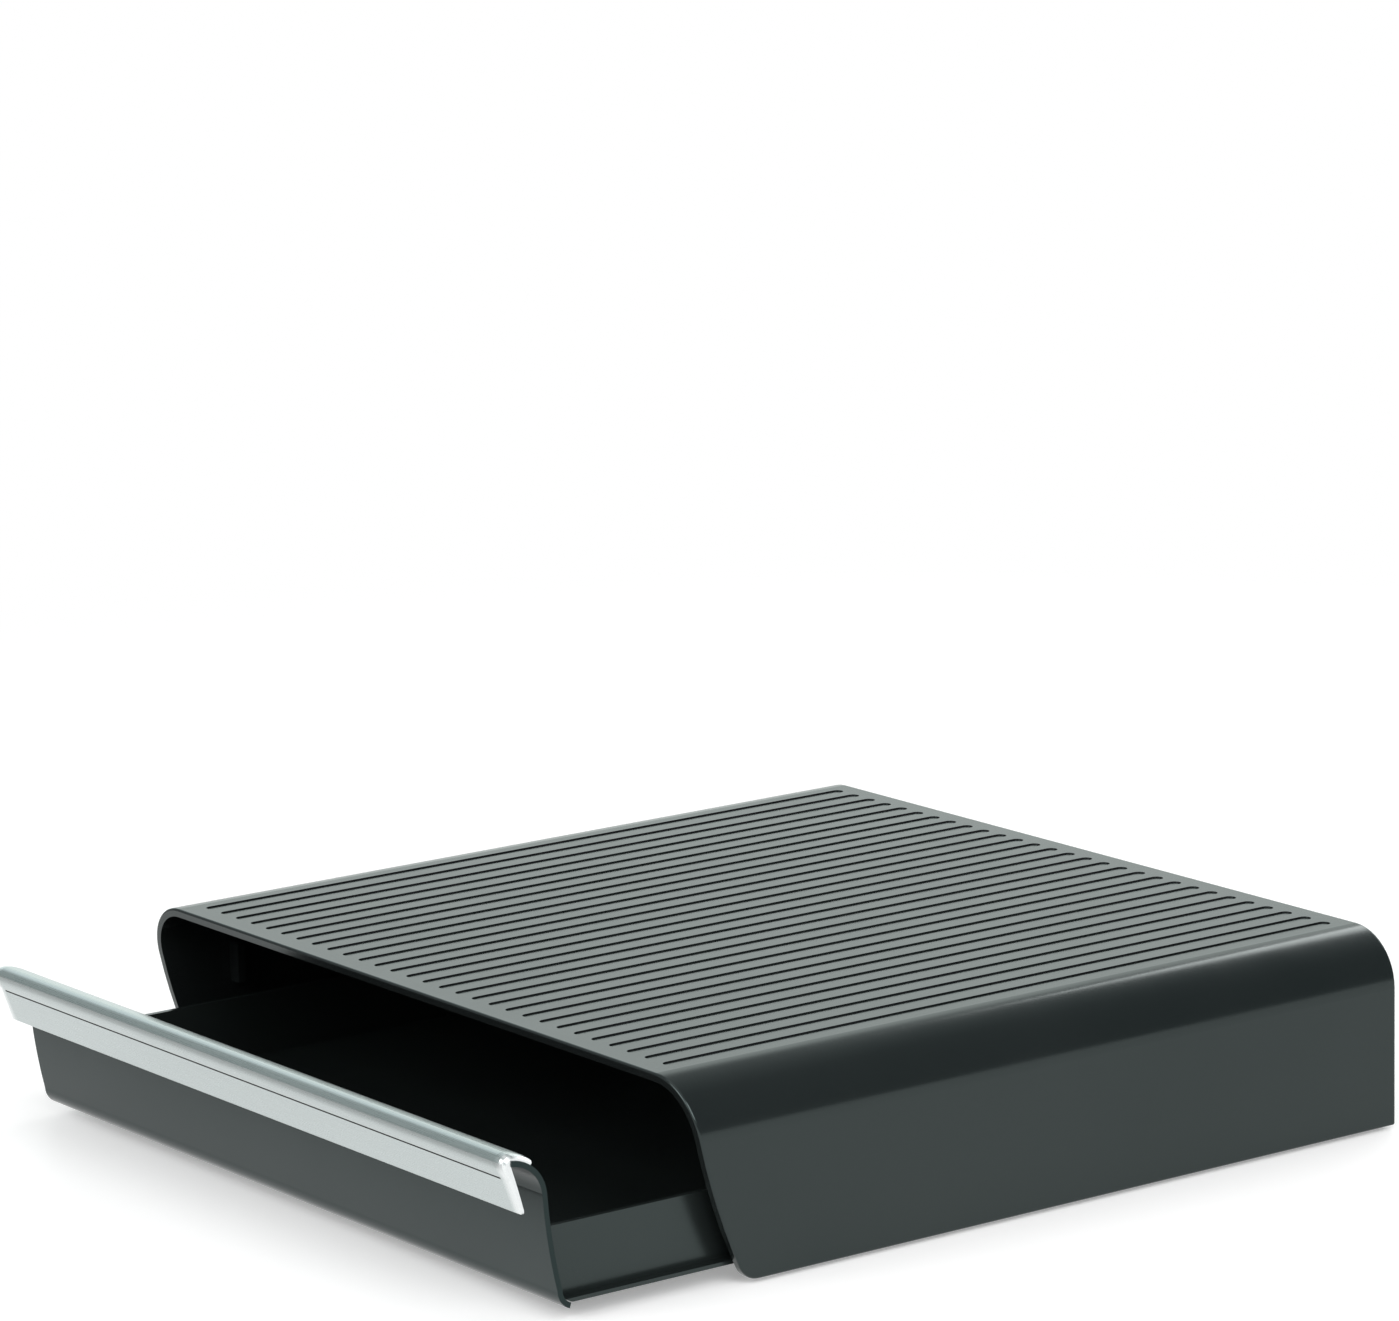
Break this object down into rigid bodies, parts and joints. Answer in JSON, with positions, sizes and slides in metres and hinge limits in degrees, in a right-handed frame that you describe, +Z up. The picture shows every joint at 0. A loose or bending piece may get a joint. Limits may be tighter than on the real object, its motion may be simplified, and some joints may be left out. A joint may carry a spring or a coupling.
{
  "type": "coffee pod drawer",
  "caption": "Low platform with round shoulders and a grooved top that a coffee machine stands on, over a full-width sliding drawer for coffee pods with a hooked metallic pull.",
  "frame": {"origin": "centre of the whole footprint at table level, with the drawer pulled out as modelled", "axes": "+Z up, front and drawer pull towards -Y, +X to the right seen from the front"},
  "size_m": [0.35, 0.3934, 0.0745],
  "materials": {
    "shell": "satin moulded",
    "tray": "satin moulded",
    "drawer_front": "satin moulded",
    "rail": "moulded",
    "handle": "fine brushed, satin",
    "foot": "matt"
  },
  "bodies": {
    "housing": {"cover": "shell", "left_rail": "rail", "right_rail": "rail", "rear_left_foot": "foot", "front_left_foot": "foot", "rear_right_foot": "foot", "front_right_foot": "foot"},
    "drawer": {"tray": "tray", "drawer_front": "drawer_front", "handle": "handle"}
  },
  "joints": [
    {"name": "drawer_slide", "type": "slide", "parent": "housing", "child": "drawer", "axis": [0, -1, 0], "range_m": [-0.065, 0.212]}
  ]
}
